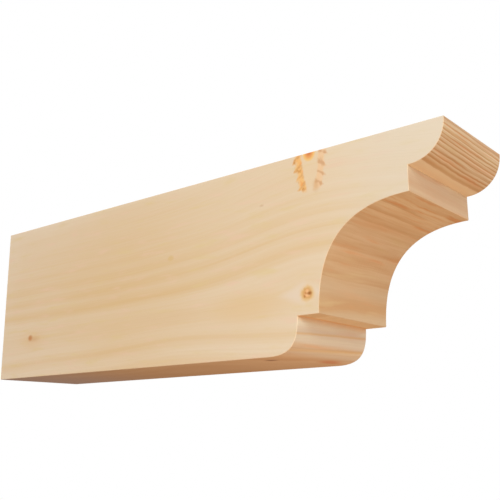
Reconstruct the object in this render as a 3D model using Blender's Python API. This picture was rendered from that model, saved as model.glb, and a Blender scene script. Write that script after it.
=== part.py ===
"""Rafter tail: a planed softwood timber, its free end sawn in side view to a round, a fillet,
a deep cove, a ledge and a second round. It is one solid, in metres.

The origin is the middle of the square end that meets the wall. +X runs along the timber to the
carved tip, +Y across it and +Z up, so the side view is drawn in the XZ plane.
"""

import math

import bmesh
import bpy
from mathutils import Vector

# The dressed timber: a 3.5 x 5.5 in section, 18 in long.
LENGTH = 0.4572
HEIGHT = 0.1397
WIDTH = 0.0889

# The carving, read down the free end. Each round and the cove is as deep as it is long,
# and the cove takes what the others leave of the height.
UPPER_ROUND = 0.02619
FILLET = 0.01746
LEDGE = 0.01746
LOWER_ROUND = 0.02619

# How fully each curve fills the corner of its square: the share of the side that its handles
# take. A quarter of a circle is 0.552, and a fuller curve stays closer to the corner.
UPPER_FULLNESS = 0.583
COVE_FULLNESS = 0.67
LOWER_FULLNESS = 0.75

ARRIS = 0.0006  # what sandpaper takes off each outer edge
CURVE_STEPS = 24  # flats that make up each curve

SHARP_ANGLE = math.radians(40)  # a fold steeper than this is an edge
FLAT_ANGLE = math.radians(0.1)  # faces that meet flatter than this are one face
WELD = 0.00001

PLANED_SOFTWOOD = (0.74, 0.55, 0.36, 1.0)
PLANED_ROUGHNESS = 0.6

BACK = Vector((-1.0, 0.0))
DOWN = Vector((0.0, -1.0))


class Corner:
    """A point of the side view, with the handle of a curve that ends or starts there."""

    def __init__(self, place):
        self.place = place
        self.handle_in = None
        self.handle_out = None


def step(corners, way):
    """A straight run from the last corner."""
    corners.append(Corner(corners[-1].place + way))


def sweep(corners, side, leaving, arriving, fullness):
    """A quarter curve from the last corner, down and back by the same side."""
    start = corners[-1]
    step(corners, side * (BACK + DOWN))
    end = corners[-1]
    start.handle_out = start.place + side * fullness * leaving
    end.handle_in = end.place - side * fullness * arriving


def side_view():
    """The outline of the timber from its side, clockwise from the top of the wall end."""
    cove = HEIGHT - UPPER_ROUND - FILLET - LOWER_ROUND
    corners = [Corner(Vector((0.0, HEIGHT / 2)))]
    step(corners, LENGTH * -BACK)
    sweep(corners, UPPER_ROUND, DOWN, BACK, UPPER_FULLNESS)
    step(corners, FILLET * DOWN)
    sweep(corners, cove, BACK, DOWN, COVE_FULLNESS)
    step(corners, LEDGE * BACK)
    sweep(corners, LOWER_ROUND, DOWN, BACK, LOWER_FULLNESS)
    underside = corners[-1].place.x
    step(corners, underside * BACK)
    return corners


def outline_curve(corners):
    """The side view as a filled curve, as thick as the timber and standing upright."""
    data = bpy.data.curves.new("side_view", "CURVE")
    data.dimensions = "2D"
    data.fill_mode = "BOTH"
    data.extrude = WIDTH / 2
    spline = data.splines.new("BEZIER")
    spline.use_cyclic_u = True
    spline.resolution_u = CURVE_STEPS
    spline.bezier_points.add(len(corners) - 1)
    for point, corner in zip(spline.bezier_points, corners):
        point.co = corner.place.to_3d()
        point.handle_left_type = "VECTOR"
        point.handle_right_type = "VECTOR"
        if corner.handle_in is not None:
            point.handle_left_type = "FREE"
            point.handle_left = corner.handle_in.to_3d()
        if corner.handle_out is not None:
            point.handle_right_type = "FREE"
            point.handle_right = corner.handle_out.to_3d()
    outline = bpy.data.objects.new("side_view", data)
    outline.rotation_euler.x = math.pi / 2
    return outline


def ease_arrises(mesh):
    """Weld the sawn blank into one closed body and take the sharpness off its outer edges."""
    bm = bmesh.new()
    bm.from_mesh(mesh)
    bmesh.ops.remove_doubles(bm, verts=bm.verts, dist=WELD)
    bmesh.ops.dissolve_limit(bm, angle_limit=FLAT_ANGLE, verts=bm.verts, edges=bm.edges)
    bmesh.ops.recalc_face_normals(bm, faces=bm.faces)
    arrises = [e for e in bm.edges if e.is_convex and e.calc_face_angle() > SHARP_ANGLE]
    bmesh.ops.bevel(
        bm, geom=arrises, affect="EDGES", offset=ARRIS, segments=1, profile=0.5, material=-1
    )
    bm.to_mesh(mesh)
    bm.free()
    mesh.shade_smooth()
    mesh.set_sharp_from_angle(angle=SHARP_ANGLE)


def softwood():
    """Pale planed softwood, bare of any finish."""
    material = bpy.data.materials.new("softwood")
    material.use_nodes = True
    shader = material.node_tree.nodes["Principled BSDF"]
    shader.inputs["Base Color"].default_value = PLANED_SOFTWOOD
    shader.inputs["Roughness"].default_value = PLANED_ROUGHNESS
    shader.inputs["Metallic"].default_value = 0.0
    return material


def rafter_tail(collection):
    """The timber: the side view cut through its whole width."""
    outline = outline_curve(side_view())
    collection.objects.link(outline)
    depsgraph = bpy.context.evaluated_depsgraph_get()
    mesh = bpy.data.meshes.new_from_object(outline.evaluated_get(depsgraph))
    mesh.name = "rafter_tail"
    ease_arrises(mesh)
    mesh.materials.clear()
    mesh.materials.append(softwood())
    timber = bpy.data.objects.new("rafter_tail", mesh)
    timber.matrix_world = outline.matrix_world
    collection.objects.link(timber)
    bpy.data.objects.remove(outline)
    return timber


for leftover in list(bpy.data.objects):
    bpy.data.objects.remove(leftover, do_unlink=True)

pieces = bpy.data.collections.new("rafter_tail")
bpy.context.scene.collection.children.link(pieces)
rafter_tail(pieces)
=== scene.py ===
import math

import bmesh
import bpy
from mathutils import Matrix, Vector
from mathutils.geometry import interpolate_bezier


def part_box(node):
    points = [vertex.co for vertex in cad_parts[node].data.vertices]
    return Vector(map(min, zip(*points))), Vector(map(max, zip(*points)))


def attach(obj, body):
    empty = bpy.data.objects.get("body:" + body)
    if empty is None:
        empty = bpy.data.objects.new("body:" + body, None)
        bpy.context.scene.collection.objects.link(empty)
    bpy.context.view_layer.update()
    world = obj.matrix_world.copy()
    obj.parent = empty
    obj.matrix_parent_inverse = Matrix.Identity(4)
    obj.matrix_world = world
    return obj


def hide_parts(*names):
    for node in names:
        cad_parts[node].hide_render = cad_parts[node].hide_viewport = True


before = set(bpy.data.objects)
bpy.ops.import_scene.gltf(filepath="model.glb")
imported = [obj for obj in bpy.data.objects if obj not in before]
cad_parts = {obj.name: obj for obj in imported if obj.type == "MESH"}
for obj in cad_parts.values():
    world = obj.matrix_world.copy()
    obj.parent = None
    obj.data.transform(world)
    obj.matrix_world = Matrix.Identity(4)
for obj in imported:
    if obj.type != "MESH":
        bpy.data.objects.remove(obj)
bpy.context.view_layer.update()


# The blank is one length of softwood, planed on its four long faces and sawn square at the wall
# end. The free end is bandsawn down to a pattern set out in eighths of the height, then sanded,
# and every outer edge is eased with the same paper.

SAWN_LENGTH = 0.4572
EASED_EDGE = 0.0005
EASED_STEPS = 3
CURVE_STEPS = 48
EDGE_ANGLE = math.radians(40)

low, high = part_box("rafter_tail")
eighth = (high.z - low.z) / 8
BACK = Vector((-1, 0, 0))
DOWN = Vector((0, 0, -1))


def quarter(outline, side, leaving, arriving, fullness):
    """Saw on from the last point of the outline, down and back by the same side."""
    start = outline[-1]
    end = start + side * (BACK + DOWN)
    first_handle = start + side * fullness * leaving
    last_handle = end - side * fullness * arriving
    curve = interpolate_bezier(start, first_handle, last_handle, end, CURVE_STEPS)
    outline.extend(curve[1:])


def pattern():
    """The outline of the near side, from the top of the wall end round to its foot."""
    outline = [Vector((low.x, low.y, high.z)), Vector((low.x + SAWN_LENGTH, low.y, high.z))]
    quarter(outline, 1.5 * eighth, DOWN, BACK, 0.583)
    outline.append(outline[-1] + eighth * DOWN)
    quarter(outline, 4 * eighth, BACK, DOWN, 0.67)
    outline.append(outline[-1] + eighth * BACK)
    quarter(outline, 1.5 * eighth, DOWN, BACK, 0.75)
    outline.append(Vector((low.x, low.y, low.z)))
    return outline


def sawn_timber():
    """The pattern cut through the width, with its outer edges rounded over."""
    bm = bmesh.new()
    face = bm.faces.new([bm.verts.new(point) for point in pattern()])
    cut = bmesh.ops.extrude_face_region(bm, geom=[face])
    far_side = [v for v in cut["geom"] if isinstance(v, bmesh.types.BMVert)]
    bmesh.ops.translate(bm, verts=far_side, vec=(0, high.y - low.y, 0))
    bmesh.ops.recalc_face_normals(bm, faces=bm.faces)
    edges = [e for e in bm.edges if e.is_convex and e.calc_face_angle() > EDGE_ANGLE]
    bmesh.ops.bevel(
        bm, geom=edges, affect="EDGES", offset=EASED_EDGE,
        segments=EASED_STEPS, profile=0.5, material=-1,
    )
    mesh = bpy.data.meshes.new("carved_timber")
    bm.to_mesh(mesh)
    bm.free()
    mesh.shade_smooth()
    mesh.set_sharp_from_angle(angle=EDGE_ANGLE)
    timber = bpy.data.objects.new("carved_timber", mesh)
    bpy.context.scene.collection.objects.link(timber)
    return timber


timber = sawn_timber()
flats = timber.modifiers.new("flats", "WEIGHTED_NORMAL")
flats.keep_sharp = True


# The wood is pale planed pine. Its growth rings lie nearly level, close together under the top and
# wide apart lower down, so its colour follows how deep a place is among the rings. The sawn faces
# cut across the fibres, and show the same rings darker, warmer and stronger.

wood = bpy.data.materials.new("planed_pine")
wood.use_nodes = True
nodes = wood.node_tree.nodes
links = wood.node_tree.links
place = nodes.new("ShaderNodeTexCoord")
MM = 0.001


class Grain:
    """A number or colour that varies through the timber."""

    def __init__(self, socket):
        self.socket = socket

    def __add__(self, other):
        return sum_of("ADD", self, other)

    __radd__ = __add__

    def __sub__(self, other):
        return sum_of("SUBTRACT", self, other)

    def __rsub__(self, other):
        return sum_of("SUBTRACT", other, self)

    def __mul__(self, other):
        return sum_of("MULTIPLY", self, other)

    __rmul__ = __mul__

    def __truediv__(self, other):
        return sum_of("DIVIDE", self, other)


def set_in(socket, value):
    if isinstance(value, Grain):
        links.new(value.socket, socket)
    elif isinstance(value, tuple):
        socket.default_value = (*value, 1.0)
    else:
        socket.default_value = value


def sum_of(operation, *terms):
    node = nodes.new("ShaderNodeMath")
    node.operation = operation
    for socket, term in zip(node.inputs, terms):
        set_in(socket, term)
    return Grain(node.outputs[0])


def power(grain, exponent):
    return sum_of("POWER", grain, exponent)


def away(*offsets):
    """How far from the place where all the offsets are zero."""
    total = offsets[0] * offsets[0]
    for offset in offsets[1:]:
        total = total + offset * offset
    return sum_of("SQRT", total)


def rise(grain, start, end):
    """0 before the start and 1 past the end, with a soft step between."""
    node = nodes.new("ShaderNodeMapRange")
    node.interpolation_type = "SMOOTHSTEP"
    set_in(node.inputs["Value"], grain)
    node.inputs["From Min"].default_value = start
    node.inputs["From Max"].default_value = end
    return Grain(node.outputs["Result"])


def fall(grain, start, end):
    return 1.0 - rise(grain, start, end)


def swell(grain, middle, width):
    """1 at the middle, dying away a width or two to each side."""
    off = (grain - middle) / width
    return power(math.e, -1.0 * (off * off))


def cloud(seed, *, x, y, z, detail=2.0):
    """Uneven patches, from -1 to 1, of this size along each axis."""
    patch = nodes.new("ShaderNodeMapping")
    patch.inputs["Scale"].default_value = (1 / x, 1 / y, 1 / z)
    patch.inputs["Location"].default_value = (seed, 1.7 * seed, -2.3 * seed)
    links.new(place.outputs["Object"], patch.inputs["Vector"])
    noise = nodes.new("ShaderNodeTexNoise")
    noise.inputs["Scale"].default_value = 1.0
    noise.inputs["Detail"].default_value = detail
    links.new(patch.outputs["Vector"], noise.inputs["Vector"])
    return 2.0 * Grain(noise.outputs["Fac"]) - 1.0


def stain(base, over, share):
    """The base colour with a share of another over it."""
    node = nodes.new("ShaderNodeMix")
    node.data_type = "RGBA"
    set_in(node.inputs["Factor"], share)
    set_in(node.inputs[6], base)
    set_in(node.inputs[7], over)
    return Grain(node.outputs[2])


def shade(red, green, blue):
    """A colour by its three parts out of 255."""
    parts = [part / 255 for part in (red, green, blue)]
    return tuple(
        part / 12.92 if part < 0.04045 else ((part + 0.055) / 1.055) ** 2.4 for part in parts
    )


def chart(grain, stops, interpolation="LINEAR"):
    """Reads a value off a chart of (place, value) stops."""
    node = nodes.new("ShaderNodeValToRGB")
    set_in(node.inputs["Fac"], grain)
    ramp = node.color_ramp
    ramp.interpolation = interpolation
    for number, (stop, value) in enumerate(stops):
        mark = ramp.elements[number] if number < 2 else ramp.elements.new(stop)
        mark.position = stop
        mark.color = (*value, 1.0) if isinstance(value, tuple) else (value, value, value, 1.0)
    return Grain(node.outputs["Color"])


def part_of(grain, axis):
    node = nodes.new("ShaderNodeSeparateXYZ")
    set_in(node.inputs[0], grain)
    return Grain(node.outputs[axis])


spot = Grain(place.outputs["Object"])
along, across, height = (part_of(spot, axis) for axis in "XYZ")
depth = high.z - height
from_near = across - low.y
from_far = high.y - across
faces = Grain(place.outputs["Normal"])
across_fibres = rise(sum_of("ABSOLUTE", part_of(faces, "X")), 0.02, 0.80)
underneath = fall(part_of(faces, "Z"), -0.9, -0.3)
on_top = rise(part_of(faces, "Z"), 0.3, 0.9)

# Each ring as its depth in millimetres at the wall end, how plainly its dark edge shows on the
# planed side and on sawn wood, and how brown its early wood is when it is cut across.
RINGS = [
    (4.8, 0.05, 0.70, 0.60), (8.2, 0.08, 0.95, 0.66), (11.2, 0.10, 1.05, 0.44),
    (15.1, 0.10, 1.05, 0.46), (17.5, 0.10, 1.10, 0.46), (19.6, 0.08, 0.95, 0.50),
    (22.0, 0.12, 1.10, 0.44), (24.6, 0.12, 1.20, 0.40), (27.5, 0.12, 1.10, 0.38),
    (29.4, 0.15, 1.10, 0.36), (31.3, 0.20, 1.50, 0.52), (33.8, 0.20, 1.60, 0.58),
    (36.4, 0.25, 0.50, -0.16), (41.8, 0.30, 0.20, 0.16), (50.4, 0.40, 0.20, 0.60),
    (57.0, 0.10, 0.80, 0.44), (59.7, 0.25, 1.20, 0.04), (63.9, 0.70, 1.20, 0.20),
    (69.5, 0.10, 0.45, 0.76), (73.8, 0.80, 0.30, 0.52), (86.3, 1.00, 0.70, 0.50),
    (93.4, 0.05, 0.30, 0.66), (100.2, 0.12, 0.55, 0.72), (105.0, 0.30, 0.40, 0.84),
    (111.1, 0.20, 0.60, 0.99), (115.4, 0.20, 0.70, 0.99), (126.6, 0.80, 0.80, 0.78),
    (136.4, 0.30, 0.70, 0.46), (139.3, 0.30, 0.40, 0.34), (143.0, 0.30, 0.80, 0.40),
    (150.0, 0.30, 0.80, 0.34),
]
DEEPEST = 160.0

# The rings rise to meet a whorl of branches near the carved end, sag between, and tilt across.
# At the wall end they bow up in the middle of the width.
shallow = fall(depth, 0.060, 0.125)
deep = rise(depth, 0.090, 0.125)
lift = shallow * (0.0183 * swell(along, 0.365, 0.088) + 0.0015 * swell(along, 0.230, 0.060))
lift = lift + deep * (0.0055 * swell(along, 0.235, 0.075) - 0.0035 * swell(along, 0.0, 0.045))
tilt = 0.016 - 0.46 * depth
bow = 2.8 * fall(along, 0.06, 0.28) * from_near * from_far
layer = depth + lift + bow - tilt * from_near

# They part to pass round the two knots that reach the near face: where each is, and how far from
# it they bend.
for x, z, reach in ((0.3521, -0.0292, 0.012), (0.0428, -0.0343, 0.008)):
    from_knot = away(along - x, height - z, 0.6 * from_near)
    layer = layer + 0.5 * (height - z) * swell(from_knot, 0.0, reach)
layer = layer + 0.8 * MM * cloud(3, x=0.30, y=0.06, z=0.06)
layer = layer + 0.30 * MM * cloud(5, x=0.05, y=0.020, z=0.014)
layer = layer + 0.25 * MM * cloud(7, x=0.020, y=0.007, z=0.020, detail=3.0)

ring = chart(layer / (DEEPEST * MM), [(0.0, 0.0)] + [
    (edge / DEEPEST, (number + 1) / len(RINGS)) for number, (edge, *_) in enumerate(RINGS)
])
ring = part_of(ring, "X") * len(RINGS)
year = sum_of("FLOOR", ring)
season = ring - year
habits = chart((year + 0.5) / len(RINGS), [
    (number / len(RINGS), (*habit, 0.0)) for number, (_, *habit, _) in enumerate(RINGS)
], "CONSTANT")
brown = part_of(chart(ring / len(RINGS), [
    ((number + 0.5) / len(RINGS), 0.5 + 0.5 * brownness)
    for number, (*_, brownness) in enumerate(RINGS)
]), "X") * 2.0 - 1.0
growth_stops = fall(season, 0.88, 1.0)
late_wood = 1.25 * power(season, 2.0) * growth_stops


def streaks(seed, thickness, detail=2.5):
    """Uneven streaks, from -1 to 1, that run along the rings."""
    flow = nodes.new("ShaderNodeCombineXYZ")
    for axis, run in zip("XYZ", (along / 0.14 + seed, from_near / 0.05, layer / thickness)):
        set_in(flow.inputs[axis], run)
    hairs = nodes.new("ShaderNodeTexNoise")
    hairs.inputs["Scale"].default_value = 1.0
    hairs.inputs["Detail"].default_value = detail
    links.new(flow.outputs[0], hairs.inputs["Vector"])
    return 2.0 * Grain(hairs.outputs["Fac"]) - 1.0


# Along the rings run fine streaks, and the colour drifts in patches as long as a hand.
streak = streaks(0.0, 1.5 * MM)
resin = streaks(7.0, 3.6 * MM)
rust = streaks(19.0, 0.9 * MM, 1.5)
fine_lines = streaks(11.0, 0.70 * MM, 1.0)
patch = cloud(29, x=0.09, y=0.05, z=0.022)
fibre = cloud(17, x=0.05, y=0.0007, z=0.0007, detail=3.0)
sanded = cloud(41, x=0.03, y=0.0009, z=0.03, detail=2.0)

# The planed faces are pale, and yellower in some bands: each as its depth in millimetres among the
# rings and its share of straw colour.
PALE = shade(227, 201, 172)
STRAW = shade(218, 180, 132)
RING_EDGE = shade(216, 172, 112)
PINK_BLUSH = shade(230, 190, 162)
STRAW_BLUSH = shade(220, 190, 136)
TIP_PAINTED_SHADE = shade(212, 198, 180)
BANDS = [
    (0, 0.16), (3.2, 0.29), (7, 0.42), (14.5, 0.54), (20, 0.55), (27, 0.59), (33, 0.65),
    (36, 0.60), (40, 0.68), (44.5, 0.61), (51, 0.78), (55, 0.66), (58.5, 0.82), (60.8, 0.88),
    (63, 0.84), (66.8, 0.66), (70, 0.84), (73, 0.94), (78, 0.65), (82, 0.83), (85.4, 0.98),
    (87, 0.90), (91, 0.53), (97, 0.64), (105, 0.72), (112, 0.64), (119, 0.46), (123, 0.56),
    (126.8, 0.82), (134, 0.34), (138, 0.44), (142, 0.72),
]
mellow = part_of(chart(layer / (DEEPEST * MM), [
    (band / DEEPEST, straw) for band, straw in BANDS
]), "X")
mellow = mellow - 0.34 * (1.0 - swell(along, 0.17, 0.11)) - 0.16 * rise(along, 0.33, 0.42)
mellow = mellow - 0.12 * fall(along, 0.0, 0.03) + 0.13 * patch + 0.20 * streak
planed = stain(PALE, STRAW, sum_of("MAXIMUM", mellow, 0.0))
clearness = 0.75 + 0.5 * cloud(31, x=0.05, y=0.03, z=0.010)
side_line = part_of(habits, "X")
sawn_line = part_of(habits, "Y")
line = late_wood * (0.4 * side_line + 0.5 * on_top * sawn_line) * clearness
planed = stain(planed, RING_EDGE, 0.6 * line)
blush = cloud(43, x=0.030, y=0.020, z=0.006, detail=3.0)
planed = stain(planed, PINK_BLUSH, 0.55 * rise(blush, 0.05, 0.6))
planed = stain(planed, STRAW_BLUSH, 0.55 * fall(blush, -0.6, -0.05))
# Painted shade: the near face turns greyer and duller towards the carved tip.
planed = stain(planed, TIP_PAINTED_SHADE, 0.30 * rise(along, 0.36, 0.43))

# The sawn faces, by the forms of the carving: the upper round, where the lines are crisp, the
# fillet, the crown of the cove, the ledge, the lower round and the flat foot behind it.
crisp = fall(depth, 0.026, 0.032)
fillet = rise(depth, 0.026, 0.030) * fall(depth, 0.042, 0.044)
crown = rise(depth, 0.0432, 0.0440) * fall(depth, 0.048, 0.058) * rise(along, 0.380, 0.400)
ledge = rise(depth, 0.111, 0.113) * fall(depth, 0.114, 0.116)
lower_round = rise(along, 0.20, 0.30) * fall(along, 0.345, 0.350)
foot = rise(depth, 0.130, 0.138)
end_line = late_wood * sawn_line

# Level ones show the rings as broad figure.
PALE_LEVEL = shade(227, 192, 146)
BROWN_LEVEL = shade(203, 156, 106)
UNDER_ROUND_PAINTED_LIGHT = shade(236, 210, 172)
FOOT_ROSE = shade(214, 158, 112)
FOOT_PAINTED_SHADE = shade(200, 182, 178)
LEDGE_ORANGE = shade(210, 140, 76)
CROWN_CREAM = shade(232, 200, 158)
CROWN_ORANGE = shade(210, 134, 70)
figure = 0.14 + (0.5 + 0.5 * crisp) * end_line + 0.40 * streak + 0.15 * patch
level = stain(PALE_LEVEL, BROWN_LEVEL, figure)
# Painted light: the down-facing side under the upper round is made paler, as if lit from below.
under_round = rise(depth, 0.0242, 0.0254) * fall(depth, 0.028, 0.036)
level = stain(level, UNDER_ROUND_PAINTED_LIGHT, 0.56 * under_round)
level = stain(level, FOOT_ROSE, 0.35 * foot)
# Painted shade: the underside turns cooler and greyer towards the wall end, away from the warm
# light below the carving.
level = stain(level, FOOT_PAINTED_SHADE, 0.66 * foot * fall(along, 0.0, 0.17))
level = stain(level, LEDGE_ORANGE, 0.55 * ledge * swell(along, 0.3452, 0.0014))
level = stain(level, CROWN_CREAM, 0.60 * crown * fall(rust, -0.45, -0.05))
level = stain(level, CROWN_ORANGE, 0.65 * crown * rise(rust, 0.0, 0.40))

# Steep ones cut the fibres across, and toast between the pale and the brown end grain.
PALE_END = shade(231, 205, 168)
BROWN_END = shade(190, 140, 90)
RESIN_ORANGE = shade(212, 140, 82)
RESIN_STRAW = shade(208, 178, 128)
COVE_TAN = shade(200, 174, 140)
ROUND_BEIGE = shade(208, 205, 190)
ROUND_TOP_PAINTED_GLOW = shade(230, 182, 122)
SEAM_OCHRE = shade(206, 156, 88)
FILLET_PINK = shade(216, 186, 168)
RUST = shade(212, 128, 76)
CROWN_RUST = shade(212, 136, 72)
toast = brown - 0.10 * crisp + (0.36 + 0.34 * crisp) * end_line
toast = toast + (0.22 - 0.14 * fillet) * streak + 0.05 * sanded + 0.09 * fillet
round_tone = 0.92 * swell(depth, 0.1165, 0.0043) - 0.10 * rise(depth, 0.121, 0.126)
toast = toast - lower_round * round_tone + (0.10 + 0.46 * crisp) * fine_lines
end = stain(PALE_END, BROWN_END, toast)
end = stain(end, RESIN_ORANGE, 0.46 * rise(resin, 0.05, 0.55))
end = stain(end, RESIN_STRAW, 0.46 * fall(resin, -0.55, -0.05))
tan = 0.20 * rise(layer, 0.090, 0.097) + 0.42 * swell(layer, 0.1035, 0.0034)
tan = tan + 0.45 * rise(layer, 0.111, 0.115)
end = stain(end, COVE_TAN, tan * rise(along, 0.345, 0.350))
beige = 0.16 + 0.29 * fall(depth, 0.129, 0.132) + 0.32 * rise(depth, 0.134, 0.137)
end = stain(end, ROUND_BEIGE, beige * lower_round)
# Painted light: a warm glow along the top of the lower round, just under the ledge, fills the shade
# there.
end = stain(end, ROUND_TOP_PAINTED_GLOW, 0.42 * fall(depth, 0.1138, 0.1178) * lower_round)
seam_at = layer + 0.009 * from_near
seams = swell(seam_at, 0.1258, 0.0008) + swell(seam_at, 0.1368, 0.0009)
end = stain(end, SEAM_OCHRE, 0.44 * seams * lower_round)
end = stain(end, FILLET_PINK, 0.20 * fillet + 0.14 * fall(depth, 0.001, 0.005))
end = stain(end, RUST, 0.50 * crisp * rise(rust, 0.05, 0.50))
end = stain(end, CROWN_RUST, 0.45 * crown * rise(rust, 0.0, 0.40))

colour = stain(planed, level, underneath)
colour = stain(colour, end, across_fibres)


# Where a branch was cut lengthwise, near the carved end, its margins are stained with resin and
# frayed into barbs. It reaches the near face and the top, and its heart shows at their edge.
beside = along - 0.3566
width_off = sum_of("ABSOLUTE", beside)
left_side = fall(beside, -0.002, 0.002)
rim = away(beside, 0.94 * from_near) - 0.0108 + 6.1 * depth * depth
ragged = cloud(53, x=0.0035, y=0.0035, z=0.0070, detail=4.0)
barb_turn = (2 * math.pi / 0.0080) * (depth - 0.7 * width_off - 0.0024)
barb_turn = barb_turn + 2.2 * cloud(59, x=0.008, y=0.01, z=0.008)
barb = power(0.5 + 0.5 * sum_of("COSINE", barb_turn), 2.5)
branch_ends = fall(depth, 0.0250, 0.0295)
margin = rise(rim + 0.0016 * ragged, -0.0046, -0.0022)
margin = margin * fall(rim - 0.0022 * barb - 0.0026 * ragged, -0.0004, 0.0028)
margin = margin * branch_ends * (0.60 + 0.34 * left_side)
inside = fall(rim, -0.0035, -0.0005) * fall(depth, 0.020, 0.034)
colour = stain(colour, shade(228, 194, 154), 0.52 * inside)
mottle = cloud(61, x=0.0030, y=0.0030, z=0.0045, detail=2.0)
left_margin = margin * left_side
colour = stain(colour, shade(236, 183, 132), margin * (1.0 - left_side))
colour = stain(colour, shade(237, 179, 108), left_margin)
colour = stain(colour, shade(203, 136, 70), 0.85 * left_margin * rise(mottle, 0.0, 0.35))
colour = stain(colour, shade(234, 146, 76), 0.80 * left_margin * fall(mottle, -0.40, -0.05))
strands = rise(ragged + 0.8 * barb, 0.20, 0.90) * (1.0 - 0.55 * left_side)
colour = stain(colour, shade(190, 129, 82), 0.88 * margin * strands)
heart = away((beside + 0.0006) / 0.0052, from_near / 0.0050, depth / 0.0062)
heart_tint = chart(heart, [
    (0.0, shade(200, 114, 62)), (0.45, shade(228, 146, 82)), (0.85, shade(238, 186, 112)),
])
colour = stain(colour, heart_tint, fall(heart, 0.80, 1.15))


# A painted highlight runs along the eased near edge, where it meets a sawn face.
turned_to_side = part_of(faces, "Y")
turned_up = part_of(faces, "Z")
arris_highlight = rise(turned_to_side, -0.97, -0.80) * fall(turned_to_side, -0.45, -0.15)
arris_highlight = arris_highlight * fall(turned_up, -0.1, 0.3)
# painted highlight: the eased edge is made paler, as if it caught the light
colour = stain(colour, shade(240, 208, 172), 0.55 * arris_highlight)


# On the near face there are a tight knot above the ledge, a pin knot near the wall and some flecks.

def oval(x, z, half_length, half_height):
    """0 at the middle of an oval on the near face, 1 on its rim."""
    return away((along - x) / half_length, (height - z) / half_height)


def dab(base, over, share, mark, hard=0.5):
    """The base colour with a mark of another on the near face, soft from half way out."""
    return stain(base, over, share * fall(mark, hard, 1.5 - 0.5 * hard) * near_skin)


near_skin = fall(turned_to_side, -0.95, -0.6)
colour = dab(colour, shade(210, 160, 112), 0.55, oval(0.3612, high.z - 0.0250, 0.0028, 0.0046), 0.1)
colour = dab(colour, shade(219, 184, 144), 0.35, oval(0.2185, -0.0324, 0.042, 0.0055))
colour = dab(colour, shade(222, 184, 136), 0.60, oval(0.3000, -0.0330, 0.036, 0.0120), 0.2)
colour = dab(colour, shade(216, 176, 112), 0.50, oval(0.2223, 0.0140, 0.0036, 0.0024))
colour = dab(colour, shade(200, 158, 120), 0.50, oval(0.3137, 0.0394, 0.0020, 0.0010), 0.2)

eye = sum_of("ABSOLUTE", along - 0.349) / 0.022 + sum_of("ABSOLUTE", height + 0.0288) / 0.009
colour = dab(colour, shade(226, 200, 176), 0.80, eye)
gnarl = away(along - 0.3521, 1.05 * (height + 0.0292))
gnarl = gnarl + 1.5 * MM * cloud(47, x=0.004, y=0.004, z=0.004)
gnarl_tint = chart(gnarl / (8 * MM), [
    (0.0, shade(243, 186, 134)), (0.24, shade(238, 180, 124)), (0.40, shade(214, 158, 98)),
    (0.56, shade(222, 176, 116)), (0.85, shade(228, 194, 150)),
])
colour = stain(colour, gnarl_tint, fall(gnarl, 0.0036, 0.0084) * near_skin)
for x, z, half_length, half_height, tint, share in (
    (0.3500, -0.0262, 0.0010, 0.0010, (206, 148, 84), 0.6),
    (0.3507, -0.0288, 0.0010, 0.0012, (196, 126, 66), 0.8),
    (0.3500, -0.0311, 0.0009, 0.0012, (180, 108, 54), 0.8),
    (0.3526, -0.0293, 0.0020, 0.0008, (196, 128, 72), 0.7),
    (0.3541, -0.0293, 0.0019, 0.0015, (158, 96, 40), 1.0),
):
    colour = dab(colour, shade(*tint), share, oval(x, z, half_length, half_height), 0.1)

colour = dab(colour, shade(222, 176, 128), 0.35, oval(0.0470, -0.0365, 0.0180, 0.0090), 0.1)
colour = dab(colour, shade(206, 158, 112), 0.50, oval(0.0480, -0.0355, 0.0090, 0.0028), 0.1)
colour = dab(colour, shade(204, 144, 94), 0.90, oval(0.0430, -0.0343, 0.0034, 0.0029), 0.5)
colour = dab(colour, shade(184, 118, 68), 0.55, oval(0.0426, -0.0342, 0.0020, 0.0020), 0.1)


# Two marks show on the underside, where the flat ends: a brown one near the near edge and an
# orange one across the turn of the lower round.
for x, y, half_length, half_width, tint, share in (
    (0.3070, -0.0260, 0.0060, 0.0042, (134, 76, 48), 0.75),
    (0.3262, 0.0200, 0.0052, 0.0150, (206, 122, 76), 0.66),
):
    mark = away((along - x) / half_length, (across - y) / half_width)
    mark_share = share * fall(mark, 0.2, 1.3) * fall(turned_up, -0.4, -0.1)
    colour = stain(colour, shade(*tint), mark_share)

shader = nodes["Principled BSDF"]
links.new(colour.socket, shader.inputs["Base Color"])
shader.inputs["Roughness"].default_value = 0.78
shader.inputs["Specular IOR Level"].default_value = 0.3

bump = nodes.new("ShaderNodeBump")
bump.inputs["Distance"].default_value = 0.06 * MM
bump.inputs["Strength"].default_value = 0.6
set_in(bump.inputs["Height"], 0.4 * fibre + 0.5 * late_wood + 0.8 * across_fibres * sanded)
links.new(bump.outputs["Normal"], shader.inputs["Normal"])

timber.data.materials.append(wood)
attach(timber, "root")
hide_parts("rafter_tail")


# The studio is a pale floor under the timber, white all round and above, and dim and warm below.
# A soft lamp stands off to the front, and a small one low ahead. The floor can't be seen from
# below, so it doesn't hide the timber from a camera that looks up at it, and it fades out before
# its edge.

FLOOR_RADIUS = 3.0
FADES_FROM, FADES_TO = 0.8, 2.8
FLOOR_PAINT = (0.78, 0.76, 0.75, 1)

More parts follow.
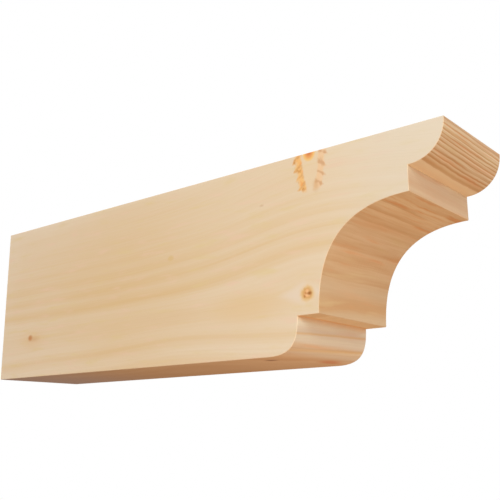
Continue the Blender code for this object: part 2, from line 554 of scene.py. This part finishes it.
floor_mesh = bpy.data.meshes.new("studio_floor")
bm = bmesh.new()
bmesh.ops.create_circle(bm, cap_ends=True, radius=FLOOR_RADIUS, segments=64)
bmesh.ops.translate(bm, verts=bm.verts, vec=(SAWN_LENGTH / 2, 0, low.z - 0.2 * MM))
bm.to_mesh(floor_mesh)
bm.free()
floor = bpy.data.objects.new("studio_floor", floor_mesh)
bpy.context.scene.collection.objects.link(floor)
floor.visible_diffuse = False
floor.visible_glossy = False
floor.visible_shadow = False
floor.visible_transmission = False
floor_paint = bpy.data.materials.new("studio_floor")
floor_paint.use_nodes = True
tree = floor_paint.node_tree
paint = tree.nodes["Principled BSDF"]
paint.inputs["Base Color"].default_value = FLOOR_PAINT
paint.inputs["Roughness"].default_value = 1.0
paint.inputs["Specular IOR Level"].default_value = 0.0
side = tree.nodes.new("ShaderNodeNewGeometry")
clear = tree.nodes.new("ShaderNodeBsdfTransparent")
choose = tree.nodes.new("ShaderNodeMixShader")
spread = tree.nodes.new("ShaderNodeTexCoord")
reach = tree.nodes.new("ShaderNodeVectorMath")
reach.operation = "LENGTH"
fade = tree.nodes.new("ShaderNodeMapRange")
fade.interpolation_type = "SMOOTHSTEP"
fade.inputs["From Min"].default_value = FADES_FROM
fade.inputs["From Max"].default_value = FADES_TO
hidden = tree.nodes.new("ShaderNodeMath")
hidden.operation = "MAXIMUM"
tree.links.new(spread.outputs["Object"], reach.inputs[0])
tree.links.new(reach.outputs["Value"], fade.inputs["Value"])
tree.links.new(side.outputs["Backfacing"], hidden.inputs[0])
tree.links.new(fade.outputs["Result"], hidden.inputs[1])
tree.links.new(hidden.outputs[0], choose.inputs[0])
tree.links.new(paint.outputs[0], choose.inputs[1])
tree.links.new(clear.outputs[0], choose.inputs[2])
tree.links.new(choose.outputs[0], tree.nodes["Material Output"].inputs["Surface"])
floor_mesh.materials.append(floor_paint)

world = bpy.data.worlds.new("studio")
bpy.context.scene.world = world
world.use_nodes = True
tree = world.node_tree
backdrop = tree.nodes["Background"]
backdrop.inputs["Color"].default_value = (1, 1, 1, 1)
surround = tree.nodes.new("ShaderNodeBackground")
way = tree.nodes.new("ShaderNodeTexCoord")
upward = tree.nodes.new("ShaderNodeSeparateXYZ")
horizon = tree.nodes.new("ShaderNodeMapRange")
horizon.interpolation_type = "SMOOTHSTEP"
horizon.inputs["From Min"].default_value = -0.15
horizon.inputs["From Max"].default_value = 0.15
glow = tree.nodes.new("ShaderNodeMix")
glow.data_type = "RGBA"
glow.inputs[6].default_value = (0.34, 0.26, 0.21, 1)
glow.inputs[7].default_value = (1.0, 1.0, 1.0, 1)
seen = tree.nodes.new("ShaderNodeLightPath")
either = tree.nodes.new("ShaderNodeMixShader")
tree.links.new(way.outputs["Generated"], upward.inputs[0])
tree.links.new(upward.outputs["Z"], horizon.inputs["Value"])
tree.links.new(horizon.outputs["Result"], glow.inputs["Factor"])
tree.links.new(glow.outputs[2], surround.inputs["Color"])
tree.links.new(seen.outputs["Is Camera Ray"], either.inputs[0])
tree.links.new(surround.outputs[0], either.inputs[1])
tree.links.new(backdrop.outputs[0], either.inputs[2])
tree.links.new(either.outputs[0], tree.nodes["World Output"].inputs["Surface"])


def lamp(name, stands, aims, size, watts, tint):
    light = bpy.data.lights.new(name, "AREA")
    light.shape = "SQUARE"
    light.size = size
    light.energy = watts
    light.color = tint
    holder = bpy.data.objects.new(name, light)
    holder.location = stands
    holder.rotation_euler = (Vector(aims) - Vector(stands)).to_track_quat("-Z", "Y").to_euler()
    holder.visible_camera = False
    bpy.context.scene.collection.objects.link(holder)


lamp("side_lamp", (1.20, -1.25, 0.50), (0.25, 0, 0), 0.8, 16.4, (0.74, 0.93, 1.0))
lamp("low_lamp", (0.58, -0.05, -0.36), (0.36, 0, -0.02), 0.3, 0.93, (1.0, 0.84, 0.70))

CAMERA_PLACE = Vector((0.64565, -0.46389, -0.12218))
CAMERA_TURN = (103.536, 0.200, 39.313)
camera_data = bpy.data.cameras.new("camera")
camera_data.sensor_width = 36
camera_data.lens = 55.69
camera = bpy.data.objects.new("camera", camera_data)
camera.location = CAMERA_PLACE
camera.rotation_euler = [math.radians(angle) for angle in CAMERA_TURN]
bpy.context.scene.collection.objects.link(camera)
bpy.context.scene.camera = camera
bpy.context.scene.view_settings.view_transform = "Standard"
